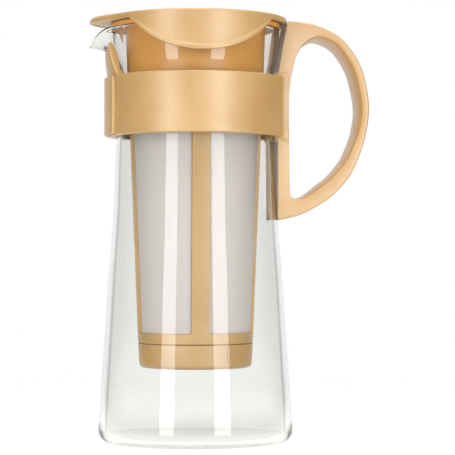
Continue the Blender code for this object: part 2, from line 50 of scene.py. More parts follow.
# the frame's own boxes, which the pieces below take their outer sizes from
_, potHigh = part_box("glass_carafe")
mouldingLow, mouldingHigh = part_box("handle_band")
claspLow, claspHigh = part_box("band_clasp")
lidLow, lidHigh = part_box("lid")
strainerLow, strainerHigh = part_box("strainer_frame")
windowLow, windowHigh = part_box("mesh_panel_1")
capLow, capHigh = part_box("strainer_cap")


def between(low, high, share):
    return low + (high - low) * share


def quarterWave(share):
    return math.sin(share * math.pi / 2)


def lipTurn(place):  # angle from the pouring lip, which points to -X
    return abs(math.atan2(place.y, -place.x))


def polar(radius, turn, height):  # turn counts from the pouring lip
    return Vector((-radius * math.cos(turn), -radius * math.sin(turn), height))


def smoothThrough(points, steps):  # a curve that passes through all of the points
    result = []
    for index in range(len(points) - 1):
        before = points[max(index - 1, 0)]
        first, second = points[index], points[index + 1]
        after = points[min(index + 2, len(points) - 1)]
        for step in range(steps):
            t = step / steps
            leave, arrive = (second - before) / 2, (after - first) / 2
            result.append(first * (2 * t**3 - 3 * t**2 + 1) + leave * (t**3 - 2 * t**2 + t)
                          + second * (3 * t**2 - 2 * t**3) + arrive * (t**3 - t**2))
    result.append(points[-1].copy())
    return result


def arcPoints(centre, radius, start, end, steps):  # start and end in quarter turns
    points = []
    for index in range(steps + 1):
        angle = between(start, end, index / steps) * math.pi / 2
        points.append(Vector((centre[0] + radius * math.cos(angle), centre[1] + radius * math.sin(angle))))
    return points


def spunProfile(outline, steps, closed=True, turn=math.tau):
    # the layer remembers which outline point each vertex came from
    bm = bmesh.new()
    stationLayer = bm.verts.layers.int.new("station")
    verts = []
    for station, point in enumerate(outline):
        vert = bm.verts.new((-point[0], 0, point[1]))
        vert[stationLayer] = station
        verts.append(vert)
    pairs = list(zip(verts, verts[1:])) + ([(verts[-1], verts[0])] if closed else [])
    edges = [bm.edges.new(pair) for pair in pairs]
    bmesh.ops.spin(bm, geom=verts + edges, cent=(0, 0, 0), axis=(0, 0, 1), angle=turn, steps=steps,
                   use_merge=turn == math.tau)
    return bm, stationLayer


def finishedPiece(name, bm, material=None, sharpAngle=35):
    bmesh.ops.remove_doubles(bm, verts=bm.verts, dist=weldDistance)
    bmesh.ops.dissolve_degenerate(bm, edges=bm.edges, dist=weldDistance)
    bmesh.ops.recalc_face_normals(bm, faces=bm.faces)
    mesh = bpy.data.meshes.new(name)
    bm.to_mesh(mesh)
    bm.free()
    mesh.shade_smooth()
    mesh.set_sharp_from_angle(angle=math.radians(sharpAngle))
    if material:
        mesh.materials.append(material)
    piece = bpy.data.objects.new(name, mesh)
    bpy.context.collection.objects.link(piece)
    return piece


def applyModifiers(piece):
    depsgraph = bpy.context.evaluated_depsgraph_get()
    mesh = bpy.data.meshes.new_from_object(piece.evaluated_get(depsgraph))
    piece.modifiers.clear()
    piece.data = mesh


def combine(piece, tool, operation):
    modifier = piece.modifiers.new(operation.lower(), "BOOLEAN")
    modifier.operation = operation
    modifier.solver = "EXACT"
    modifier.object = tool
    applyModifiers(piece)
    bpy.data.objects.remove(tool)


def dressJoined(piece, material):  # booleans leave no material and flat faces
    piece.data.materials.clear()
    piece.data.materials.append(material)
    piece.data.shade_smooth()
    piece.data.set_sharp_from_angle(angle=math.radians(32))


def standIn(piece, node, body):  # the piece shows in place of its CAD node
    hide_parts(node)
    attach(piece, body)


# helpers for the node materials
def hexColour(text):
    values = [int(text[index:index + 2], 16) / 255 for index in (1, 3, 5)]
    return tuple(v / 12.92 if v <= 0.04045 else ((v + 0.055) / 1.055) ** 2.4 for v in values) + (1.0,)


def addNode(tree, kind, values=None, **settings):
    node = tree.nodes.new(kind)
    for key, value in settings.items():
        setattr(node, key, value)
    for key, value in (values or {}).items():
        if isinstance(value, bpy.types.NodeSocket):
            tree.links.new(value, node.inputs[key])
        else:
            node.inputs[key].default_value = value
    return node


def addNoise(tree, place, size, detail):
    return addNode(tree, "ShaderNodeTexNoise", {
        "Vector": place, "Scale": 1 / size, "Detail": detail}).outputs["Fac"]


def addRange(tree, value, fromMin, fromMax, toMin=0.0, toMax=1.0, **settings):
    return addNode(tree, "ShaderNodeMapRange", {
        "Value": value, "From Min": fromMin, "From Max": fromMax, "To Min": toMin, "To Max": toMax},
        **settings).outputs["Result"]


def mixColour(tree, share, first, second):
    return addNode(tree, "ShaderNodeMix", {"Factor": share, "A": first, "B": second},
                   data_type="RGBA").outputs["Result"]


def newMaterial(name):
    material = bpy.data.materials.new(name)
    material.use_nodes = True
    tree = material.node_tree
    tree.nodes.clear()
    return material, tree


# injection moulded polypropylene: satin, a little cloudy, with a fine spark-eroded grain
plasticLook = {
    "colour": "#BE934F",
    "paler": "#C39A58",
    "deeper": "#B78B46",
    "cloudSize": 26 * mm,
    "grainSize": 0.45 * mm,
    "grainHeight": 0.012 * mm,
    "grainStrength": 0.6,
    "flowSize": 5 * mm,
    "smoothest": 0.34,
    "roughest": 0.43,
    # painted shade on the strainer's collar, where the lid and band shade it: its deeper colour, how high it
    # fades in, and its thinner coat
    "collar": "#DB9D4B",
    "collarFade": 14 * mm,
    "collarCoat": 0.1,
    "ior": 1.49,
    "specular": 0.6,
    "coat": 1.0,
    "coatRoughness": 0.52,
    "coatIor": 1.9,
    "glow": 0.1,
    "glowReach": 2.0 * mm,
    "glowColours": (1.0, 0.5, 0.2),
}


def mouldedPolypropylene(name, shadedCollar):
    look = plasticLook
    material, tree = newMaterial(name)
    place = addNode(tree, "ShaderNodeTexCoord").outputs["Object"]
    clouds = addNoise(tree, place, look["cloudSize"], 2.0)
    tone = addNode(tree, "ShaderNodeValToRGB", {"Fac": clouds})
    tone.color_ramp.elements[0].position = 0.3
    tone.color_ramp.elements[0].color = hexColour(look["deeper"])
    tone.color_ramp.elements[1].position = 0.7
    tone.color_ramp.elements[1].color = hexColour(look["paler"])
    middle = tone.color_ramp.elements.new(0.5)
    middle.color = hexColour(look["colour"])
    tone, coat = tone.outputs["Color"], look["coat"]
    if shadedCollar:  # a deeper, duller collar stands in for the shade of the lid and band on it
        # painted shade: above the windows the collar's colour deepens and its coat thins
        height = addNode(tree, "ShaderNodeSeparateXYZ", {"Vector": place}).outputs["Z"]
        deep = addRange(tree, height, windowHigh.z, windowHigh.z + look["collarFade"],
                        interpolation_type="SMOOTHSTEP")
        tone = mixColour(tree, deep, tone, hexColour(look["collar"]))
        coat = addRange(tree, deep, 0.0, 1.0, coat, look["collarCoat"])
    flow = addNoise(tree, place, look["flowSize"], 3.0)
    roughness = addRange(tree, flow, 0.3, 0.7, look["smoothest"], look["roughest"])
    grain = addNoise(tree, place, look["grainSize"], 2.0)
    bump = addNode(tree, "ShaderNodeBump", {
        "Height": grain, "Distance": look["grainHeight"], "Strength": look["grainStrength"]})
    shader = addNode(tree, "ShaderNodeBsdfPrincipled", {
        "Base Color": tone, "Roughness": roughness, "IOR": look["ior"],
        "Subsurface Weight": look["glow"], "Subsurface Radius": look["glowColours"],
        "Subsurface Scale": look["glowReach"], "Specular IOR Level": look["specular"],
        "Coat Weight": coat, "Coat Roughness": look["coatRoughness"], "Coat IOR": look["coatIor"],
        "Normal": bump.outputs["Normal"]})
    addNode(tree, "ShaderNodeOutputMaterial", {"Surface": shader.outputs["BSDF"]})
    return material


# blown borosilicate: clear, faintly grey in depth, with slight draw lines in the wall
glassLook = {
    "tint": "#FAFAF8",
    "lampTint": "#F4F5F4",
    "waveSize": 22 * mm,
    "waveHeight": 0.02 * mm,
    "waveStrength": 0.5,
    "drawSize": 3.5 * mm,
    "drawStretch": 0.15,
    "dullest": 0.02,
    "ior": 1.47,
    # painted reflection: a dark line on the inner face of the wall, in place of the dark surroundings real
    # glass shows at grazing angles
    "paintedLineColour": "#050606",
    "lineStart": 0.249,
    "linePeak": 0.264,
    "lineEnd": 0.271,
}


def blownBorosilicate(name, paintedWallLine):
    look = glassLook
    material, tree = newMaterial(name)
    place = addNode(tree, "ShaderNodeTexCoord").outputs["Object"]
    stretched = addNode(tree, "ShaderNodeMapping", {
        "Vector": place, "Scale": (1.0, 1.0, look["drawStretch"])}).outputs["Vector"]
    waves = addNoise(tree, stretched, look["waveSize"], 1.0)
    bump = addNode(tree, "ShaderNodeBump", {
        "Height": waves, "Distance": look["waveHeight"], "Strength": look["waveStrength"]})
    draw = addNoise(tree, stretched, look["drawSize"], 2.0)
    roughness = addRange(tree, draw, 0.4, 0.8, 0.0, look["dullest"])
    tint = hexColour(look["tint"])
    if paintedWallLine:  # the dark line where one looks along the inner face of the wall
        # painted reflection: the inner faces turn near black where they are seen at a grazing angle
        facing = addNode(tree, "ShaderNodeLayerWeight", {"Blend": 0.5}).outputs["Facing"]
        line = addNode(tree, "ShaderNodeValToRGB", {"Fac": facing})
        ramp = line.color_ramp
        ramp.elements[0].position, ramp.elements[0].color = look["lineStart"], (0, 0, 0, 1)
        ramp.elements[1].position, ramp.elements[1].color = look["lineEnd"], (0, 0, 0, 1)
        ramp.elements.new(look["linePeak"]).color = (1, 1, 1, 1)
        inWall = addNode(tree, "ShaderNodeNewGeometry").outputs["Backfacing"]
        amount = addNode(tree, "ShaderNodeMath", {0: line.outputs["Color"], 1: inWall}, operation="MULTIPLY")
        tint = mixColour(tree, amount.outputs[0], tint, hexColour(look["paintedLineColour"]))
    glass = addNode(tree, "ShaderNodeBsdfPrincipled", {
        "Base Color": tint, "Roughness": roughness, "IOR": look["ior"],
        "Transmission Weight": 1.0, "Normal": bump.outputs["Normal"]})
    clear = addNode(tree, "ShaderNodeBsdfTransparent", {"Color": hexColour(look["lampTint"])})
    path = addNode(tree, "ShaderNodeLightPath")  # lets the lamps light what stands inside the glass
    mix = addNode(tree, "ShaderNodeMixShader", {
        "Fac": path.outputs["Is Shadow Ray"], 1: glass.outputs["BSDF"], 2: clear.outputs["BSDF"]})
    addNode(tree, "ShaderNodeOutputMaterial", {"Surface": mix.outputs["Shader"]})
    return material


# woven polyester filter mesh: matt, slightly lilac white, plain weave
meshLook = {
    "thread": "#DDD5D3",
    "gap": "#B9B1B0",
    "shade": "#CFCBC4",
    "shadeSize": 18 * mm,
    "shadeShare": 0.4,
    "pitch": 0.62 * mm,  # such cloth has about 0.2 mm, drawn three times as coarse to show
    "threadHeight": 0.06 * mm,
    "threadStrength": 0.7,
    "roughness": 0.62,
    "sheen": 0.15,
    "clothWidth": 42 * mm,
}


def wovenPolyester():
    look = meshLook
    material, tree = newMaterial("wovenPolyester")
    cloth = addNode(tree, "ShaderNodeUVMap", uv_map="UVMap").outputs["UV"]
    across = look["clothWidth"] / look["pitch"]
    along = (windowHigh.z - windowLow.z) / look["pitch"]
    counted = addNode(tree, "ShaderNodeMapping", {"Vector": cloth, "Scale": (across, along, 1.0)})
    split = addNode(tree, "ShaderNodeSeparateXYZ", {"Vector": counted.outputs["Vector"]})
    ridges = []
    for axis in ("X", "Y"):
        swing = addNode(tree, "ShaderNodeMath", {0: split.outputs[axis], 1: math.tau}, operation="MULTIPLY")
        ridges.append(addNode(tree, "ShaderNodeMath", {0: swing.outputs[0]}, operation="SINE").outputs[0])
    woven = addNode(tree, "ShaderNodeMath", {0: ridges[0], 1: ridges[1]}, operation="MAXIMUM")
    height = addRange(tree, woven.outputs[0], -0.6, 0.6)
    tone = mixColour(tree, height, hexColour(look["gap"]), hexColour(look["thread"]))
    place = addNode(tree, "ShaderNodeTexCoord").outputs["Object"]
    stains = addNoise(tree, place, look["shadeSize"], 2.0)
    shaded = addRange(tree, stains, 0.45, 0.75, 0.0, look["shadeShare"])
    colour = mixColour(tree, shaded, tone, hexColour(look["shade"]))
    bump = addNode(tree, "ShaderNodeBump", {
        "Height": height, "Distance": look["threadHeight"],
        "Strength": look["threadStrength"]})
    shader = addNode(tree, "ShaderNodeBsdfPrincipled", {
        "Base Color": colour, "Roughness": look["roughness"], "Sheen Weight": look["sheen"],
        "Normal": bump.outputs["Normal"]})
    addNode(tree, "ShaderNodeOutputMaterial", {"Surface": shader.outputs["BSDF"]})
    return material


# the glass pot with its drawn lip
potSize = {
    "rimHeight": 205.5 * mm,
    "wall": 2.0 * mm,
    "footWall": 3.2 * mm,
    "floor": 3.0 * mm,
    "footCorner": 6.0 * mm,
    "innerCorner": 4.0 * mm,
    "neckLength": 70.5 * mm,
    "neckRadius": 37.9 * mm,
    "shoulderRadius": 40.2 * mm,
    "rimRadius": 42.1 * mm,
    "bodyShares": [(0.15, 0.885), (0.3, 0.715), (0.45, 0.55), (0.6, 0.4), (0.74, 0.215), (0.87, 0.07),
                   (1.0, 0.0)],
    "neckShares": [(0.24, 0.7), (0.38, 0.5), (0.51, 0.22), (0.61, 0.0)],
    "flareShares": [(0.15, 0.107), (0.28, 0.333), (0.39, 0.536), (0.51, 0.655), (0.74, 0.82), (1.0, 1.0)],
    "lipLength": 19.5 * mm,
    "lipReach": 10.4 * mm,
    "lipDrop": 8.5 * mm,
    "lipHalfAngle": math.radians(25),
    "turnSteps": 180,
}
rimEdge = potSize["rimHeight"] - potSize["wall"] / 2
lipStart = potSize["rimHeight"] - potSize["lipLength"]


def potWallOutline():  # outer face of the wall, from the top of the foot's corner to the rim
    size = potSize
    shoulder = size["rimHeight"] - size["neckLength"]
    points = [Vector((potHigh.y, size["footCorner"]))]
    for rise, flare in size["bodyShares"]:
        points.append(Vector((between(size["shoulderRadius"], potHigh.y, flare), shoulder * rise)))
    for rise, waist in size["neckShares"]:
        points.append(Vector((between(size["neckRadius"], size["shoulderRadius"], waist),
                              between(shoulder, rimEdge, rise))))
    flareStart = points[-1].y
    for rise, flare in size["flareShares"]:
        points.append(Vector((between(size["neckRadius"], size["rimRadius"], flare),
                              between(flareStart, rimEdge, rise))))
    return smoothThrough(points, 5)


def drawLip(place):  # pulls a point of the wall out and down where the lip is drawn
    size = potSize
    offset = lipTurn(place) / size["lipHalfAngle"]
    if offset >= 1 or place.z <= lipStart:
        return place
    pull = math.cos(offset * math.pi / 2) ** 2
    share = ((place.z - lipStart) / (rimEdge - lipStart)) ** 2
    radius = place.xy.length
    grown = (radius + size["lipReach"] * pull * share) / radius
    return Vector((place.x * grown, place.y * grown, place.z - size["lipDrop"] * pull**3 * share))


def makeGlassPot(material, insideMaterial):
    size = potSize
    corner = size["footCorner"]
    outer = arcPoints((potHigh.y - corner, corner), corner, -1, 0, 10)[:-1] + potWallOutline()
    shoulder = size["rimHeight"] - size["neckLength"]
    inner = []
    for index in range(10, len(outer)):
        along = (outer[min(index + 1, len(outer) - 1)] - outer[index - 1]).normalized()
        wall = between(size["footWall"], size["wall"], min(1.0, outer[index].y / shoulder))
        inner.append(outer[index] + wall * Vector((-along.y, along.x)))
    floorTop = size["floor"] + size["innerCorner"]
    inner = [point for point in inner if point.y > floorTop + size["wall"]]
    insideRadius = potHigh.y - size["footWall"] - size["innerCorner"]
    inner = arcPoints((insideRadius, floorTop), size["innerCorner"], -1, 0, 8) + inner
    along = (outer[-1] - outer[-2]).normalized()
    middle = (outer[-1] + inner[-1]) / 2
    rim = []
    for index in range(1, 8):
        angle = index * math.pi / 8
        rim.append(middle + (outer[-1] - middle) * math.cos(angle)
                   + along * size["wall"] / 2 * math.sin(angle))
    outline = [Vector((0, 0))] + outer + rim + list(reversed(inner)) + [Vector((0, size["floor"]))]
    bm, stations = spunProfile(outline, size["turnSteps"], closed=False)
    insideStart = len(outer) + len(rim)
    for face in bm.faces:
        face.material_index = int(all(vert[stations] > insideStart for vert in face.verts))
    for vert in bm.verts:
        vert.co = drawLip(vert.co)
    piece = finishedPiece("glassPot", bm, material, 50)
    piece.data.materials.append(insideMaterial)
    standIn(piece, "glass_carafe", "pot")


# the neck band with the cradle under the lip
bandSize = {
    "low": 151.8 * mm,
    "high": 181.5 * mm,
    "radius": 44.0 * mm,
    "hollow": 0.4 * mm,
    "edge": 0.8 * mm,
    "slit": 0.6 * mm,
    "gap": 0.3 * mm,
    "cradleHigh": 199.0 * mm,
    "cradleBase": math.radians(25.5),
    "cradleHorn": math.radians(12.75),
    "cradleSwell": 1.2 * mm,
    "cradleBow": 0.8,
    "cradleCurve": 1.3,
    "cradleWall": 2.6 * mm,
    "cradleEdge": 0.9 * mm,
    "step": 2.5 * mm,
    "turnSteps": 360,
}

# the loop handle: each outer point is paired with one of the finger hole
handleSize = {
    "root": 38.0 * mm,
    "width": 26.0 * mm,
    "corner": 0.9 * mm,
    "outerCrown": 0.5 * mm,
    "grip": 6.0 * mm,
    "gripCrown": 2.9 * mm,
    "crownCurve": 0.8,
    "topArm": 9.8 * mm,
    "lowArm": 11.6 * mm,
    "barProud": 2.1 * mm,
    "barCrown": 0.8 * mm,
    "barRadius": 42.0 * mm,
    "rootFillet": 2.2 * mm,
    "sideFillet": 2.8 * mm,
    "outerShares": [(0.0, 1.0), (0.264, 0.995), (0.47, 0.975), (0.676, 0.926), (0.814, 0.856),
                    (0.936, 0.745), (0.998, 0.577), (0.961, 0.427), (0.87, 0.298), (0.781, 0.215),
                    (0.627, 0.131), (0.47, 0.076), (0.264, 0.027), (0.0, 0.0), (0.0, 0.15),
                    (0.0, 0.37), (0.0, 0.62), (0.0, 0.82)],
    "holeShares": [(0.151, 0.932), (0.247, 0.976), (0.404, 1.0), (0.602, 0.971), (0.747, 0.913),
                   (0.904, 0.79), (1.0, 0.595), (0.974, 0.451), (0.895, 0.338), (0.791, 0.247),
                   (0.613, 0.153),
                   (0.433, 0.088), (0.215, 0.016), (0.061, 0.004), (0.009, 0.05), (0.0, 0.33), (0.0, 0.646),
                   (0.065, 0.84)],
    "barPairs": 4,
    "stationSteps": 7,
    "lidSpace": 0.6 * mm,
    "spaceSteps": 180,
}


def potRadiusAt(height, turn, wall):  # outer radius of the drawn glass at a real height
    low, high = height, rimEdge
    for _ in range(20):
        guess = (low + high) / 2
        radius = outlineRadius(guess, wall)
        if drawLip(polar(radius, turn, guess)).z < height:
            low = guess
        else:
            high = guess
    return drawLip(polar(outlineRadius(low, wall), turn, low)).xy.length


def outlineRadius(height, wall):
    for low, high in zip(wall, wall[1:]):
        if low.y <= height <= high.y:
            return between(low.x, high.x, (height - low.y) / (high.y - low.y))
    return wall[-1].x


def handleFillet(turn, size):  # how far a fillet has risen beside the handle
    side = bandSize["radius"] * math.sin(min(math.pi - turn, math.pi / 2)) - handleSize["width"] / 2
    share = 1 - min(1.0, max(0.0, side / size))
    return size * (1 - math.sqrt(1 - share**2))


def bandOuter(height, turn):
    size = bandSize
    if height > size["high"] and turn < size["cradleBase"]:
        share = (height - size["high"]) / (size["cradleHigh"] - size["high"])
        return size["radius"] + size["cradleSwell"] * math.sin(math.pi * min(share * size["cradleBow"], 1.0))
    share = min(1.0, max(0.0, (height - size["low"]) / (size["high"] - size["low"])))
    radius = size["radius"] - size["hollow"] * math.sin(math.pi * share)
    radius += handleFillet(turn, handleSize["sideFillet"])
    fromHandle = math.pi - turn
    if fromHandle < math.pi / 4:
        face = size["radius"] + handleSize["barProud"] - handleSize["barCrown"] - size["gap"]
        radius = min(radius, face / math.cos(fromHandle))
    return radius


def bandInner(height, turn, wall):
    size = bandSize
    snug = potRadiusAt(height, turn, wall) + size["gap"]
    beyond = max(height - size["high"], size["low"] - height, 0.0)
    free = size["radius"] - size["cradleWall"]
    return max(snug, between(snug, free, min(1.0, beyond / size["step"])))


def cradleTop(turn, wall):
    size = bandSize
    if turn >= size["cradleBase"]:
        return size["high"]
    share = min(1.0, (size["cradleBase"] - turn) / (size["cradleBase"] - size["cradleHorn"]))
    edge = between(size["high"], size["cradleHigh"], share ** size["cradleCurve"])
    while edge > size["high"] and (potRadiusAt(edge, turn, wall) + size["gap"] + size["cradleEdge"]
                                   > bandOuter(edge, turn)):
        edge -= size["gap"] / 3
    return edge


def bandSection(turn, wall):  # outline of the band at one turn, inside first
    size = bandSize
    edge, gap = size["edge"], size["gap"]
    flare = handleFillet(turn, handleSize["rootFillet"])
    low = size["low"] - flare
    high = cradleTop(turn, wall) + flare
    heights = [between(low + gap, size["low"] + size["step"], share) for share in (0.0, 0.5, 1.0)]
    heights.append((size["low"] + size["high"]) / 2)
    heights += [between(size["high"] - size["step"], high - gap, index / 8) for index in range(9)]
    outline = [(bandInner(height, turn, wall), height) for height in heights]
    topInside = outline[-1][0]
    outline.append((topInside + gap / 3, high - gap / 3))
    outline.append((topInside + gap, high))
    reach = max(bandOuter(high - edge, turn), topInside + 2 * gap)
    rounding = min(edge, reach - topInside - gap)
    outline += [(point.x, point.y) for point in
                reversed(arcPoints((reach - rounding, high - rounding), rounding, 0, 1, 5))]
    for index in range(11):
        height = between(high - rounding, low + edge, index / 10)
        outline.append((max(bandOuter(height, turn), reach if height > high - edge else 0), height))
    lowReach = bandOuter(low + edge, turn)
    outline += [(point.x, point.y) for point in
                reversed(arcPoints((lowReach - edge, low + edge), edge, -1, 0, 5))][1:]
    outline.append((outline[0][0] + gap, low))
    return outline


def makeBandRing(wall):
    size = bandSize
    slitTurn = size["slit"] / size["radius"]
    sample = bandSection(math.pi / 2, wall)
    bm, stations = spunProfile(sample, size["turnSteps"], turn=math.tau - slitTurn)
    bmesh.ops.rotate(bm, verts=bm.verts, cent=(0, 0, 0), matrix=Matrix.Rotation(slitTurn / 2, 3, "Z"))
    sections = {}
    for vert in bm.verts:
        angle = math.atan2(-vert.co.y, -vert.co.x)
        turn = abs(angle)
        key = round(turn, 5)
        if key not in sections:
            sections[key] = bandSection(turn, wall)
        radius, height = sections[key][vert[stations]]
        vert.co = polar(radius, angle, height)
    bmesh.ops.holes_fill(bm, edges=[edge for edge in bm.edges if edge.is_boundary])
    return finishedPiece("bandRing", bm)


def handleLines():  # matching points along the outer edge and the finger hole
    size = handleSize
    reach, high, low = mouldingHigh.x, mouldingHigh.z, mouldingLow.z
    outer = [Vector((between(size["root"], reach, x), between(low, high, z)))
             for x, z in size["outerShares"]]
    near = bandSize["radius"] + size["barProud"]
    far = reach - size["grip"]
    top, bottom = high - size["topArm"], low + size["lowArm"]
    hole = [Vector((between(near, far, x), between(bottom, top, z))) for x, z in size["holeShares"]]
    arc = len(outer) - size["barPairs"]
    steps = size["stationSteps"]
    outerLine = smoothThrough(outer[:arc], steps)[:-1]
    for first, second in zip(outer[arc - 1:], outer[arc:] + outer[:1]):
        outerLine += [first.lerp(second, step / steps) for step in range(steps)]
    holeLine = smoothThrough([hole[-1]] + hole + hole[:2], steps)[steps:-steps - 1]
    return list(zip(outerLine, holeLine)), (arc - 1) * steps


def handleSection(depth, crown):  # depth in from the outer face, and place across the width
    size = handleSize
    half, corner, outerCrown = size["width"] / 2, size["corner"], size["outerCrown"]
    side = depth - crown
    flat = half - corner
    section = []
    for index in range(-4, 5):
        share = index / 5
        section.append((outerCrown * share**2, share * flat))
    for index in range(5):
        angle = index / 4 * math.pi / 2
        section.append((outerCrown + corner - corner * math.cos(angle), flat + corner * math.sin(angle)))
    section.append((side - corner / 2, half))
    for index in range(1, 18):
        turn = index / 18 * math.pi
        section.append((side + crown * math.sin(turn) ** size["crownCurve"], half * math.cos(turn)))
    section.append((side - corner / 2, -half))
    for index in range(5):
        angle = (4 - index) / 4 * math.pi / 2
        section.append((outerCrown + corner - corner * math.cos(angle), -flat - corner * math.sin(angle)))
    return section


def makeHandleLoop():
    size = handleSize
    pairs, arcEnd = handleLines()
    bm = bmesh.new()
    rings = []
    for index, (outer, hole) in enumerate(pairs):
        inward = (hole - outer).normalized()
        depth = (hole - outer).length
        onGrip = math.sin(math.pi * min(index / arcEnd, 1.0))
        crown = min(between(size["barCrown"], size["gripCrown"], min(1.0, onGrip * 2)), depth / 2)
        section = handleSection(depth, crown)
        ring = bmesh.ops.create_circle(bm, cap_ends=False, segments=len(section),
                                       radius=size["width"])["verts"]
        for vert, (depthIn, across) in zip(ring, section):
            place = outer + inward * depthIn
            vert.co = Vector((place.x, across, place.y))
        rings.append(list({edge for vert in ring for edge in vert.link_edges}))
    for first, second in zip(rings, rings[1:] + rings[:1]):
        bmesh.ops.bridge_loops(bm, edges=first + second)
    return finishedPiece("handleBand", bm)


def makePotSpace():  # what the handle leaves free for the pot and the lid
    size = handleSize
    lidSpace = lidHigh.y + size["lidSpace"]
    low, high = mouldingLow.z - cutOverrun, mouldingHigh.z + 2 * cutOverrun
    outline = [(0, low), (size["barRadius"], low), (size["barRadius"], bandSize["high"]),
               (lidSpace, lidHigh.z - lidSize["crown"] - lidSize["thickness"] - lidSize["rimDrop"]),
               (lidSpace, high), (0, high)]
    bm, _ = spunProfile(outline, size["spaceSteps"], closed=False)
    return finishedPiece("potSpace", bm)


def makeHandleBand(material):
    wall = potWallOutline()
    piece = makeHandleLoop()
    combine(piece, makePotSpace(), "DIFFERENCE")
    combine(piece, makeBandRing(wall), "UNION")
    channel = makeClaspBlock("claspChannel", claspSize["gap"], bandSize["low"] - claspSize["runOut"],
                             bandSize["high"] - bandSize["gap"], claspSize["outer"] + cutOverrun)
    combine(piece, channel, "DIFFERENCE")
    dressJoined(piece, material)
    standIn(piece, "handle_band", "pot")


# the clasp plate over the band's two ends, with a leg along each side
claspSize = {
    "width": 33.6 * mm,
    "outer": 45.6 * mm,
    "inner": 43.6 * mm,
    "legDepth": 1.9 * mm,
    "legWidth": 2.2 * mm,
    "gap": 0.25 * mm,
    "runOut": 3.0 * mm,
    "bevel": 0.5 * mm,
    "arcSteps": 36,
}


def makeClaspBlock(name, grow, low, high, outer, material=None):
    size = claspSize
    half = math.asin(size["width"] / 2 / size["outer"]) + grow / size["outer"]
    leg = (size["legWidth"] + 2 * grow) / size["inner"]
    inner = size["inner"] - grow
    tip = inner - size["legDepth"]
    steps = size["arcSteps"]
    outline = [polar(outer, between(-half, half, index / steps), low) for index in range(steps + 1)]
    outline += [polar(tip, half, low), polar(tip, half - leg, low)]
    outline += [polar(inner, between(half - leg, leg - half, index / steps), low)
                for index in range(steps + 1)]
    outline += [polar(tip, leg - half, low), polar(tip, -half, low)]
    bm = bmesh.new()
    face = bm.faces.new([bm.verts.new(point) for point in outline])
    raised = bmesh.ops.extrude_face_region(bm, geom=[face])["geom"]
    top = [part for part in raised if isinstance(part, bmesh.types.BMVert)]
    bmesh.ops.translate(bm, verts=top, vec=(0, 0, high - low))
    return finishedPiece(name, bm, material)


def makeClaspPlate(material):
    size = claspSize
    piece = makeClaspBlock("claspPlate", 0, claspLow.z, claspHigh.z, size["outer"], material)
    bevel = piece.modifiers.new("softEdges", "BEVEL")
    bevel.width = size["bevel"]
    bevel.segments = 4
    bevel.limit_method = "ANGLE"
    bevel.angle_limit = math.radians(40)
    bevel.harden_normals = True
    standIn(piece, "band_clasp", "clasp")


# the lid with its beak over the lip and a finger lobe on each side
lidSize = {
    "radius": 45.7 * mm,
    "thickness": 2.6 * mm,
    "crown": 0.4 * mm,
    "edge": 1.0 * mm,
    "skirt": 1.8 * mm,
    "rimDrop": 0.4 * mm,
    "beakReach": 7.2 * mm,
    "beakHalfAngle": math.radians(34),
    "beakRound": 1.2 * mm,
    "lobeHalfAngle": math.radians(50),
    "lobeCurve": 2.15,
    "lobeDish": 0.6 * mm,
    "lobeLip": 0.8 * mm,
    "lobeLipHeight": 2.8 * mm,
    "lobeLipShare": 0.6,
    "lobeCrease": 0.3,
    "lipEdge": 0.5 * mm,
    "ringWall": 1.6 * mm,
    "ringDepth": 8.0 * mm,
    "recess": 0.2 * mm,
    "skirtRows": 24,
    "turnSteps": 240,
}


def lobeShare(turn):
    side = abs(turn - math.pi / 2) / lidSize["lobeHalfAngle"]
    return 1 - side ** lidSize["lobeCurve"] if side < 1 else 0.0


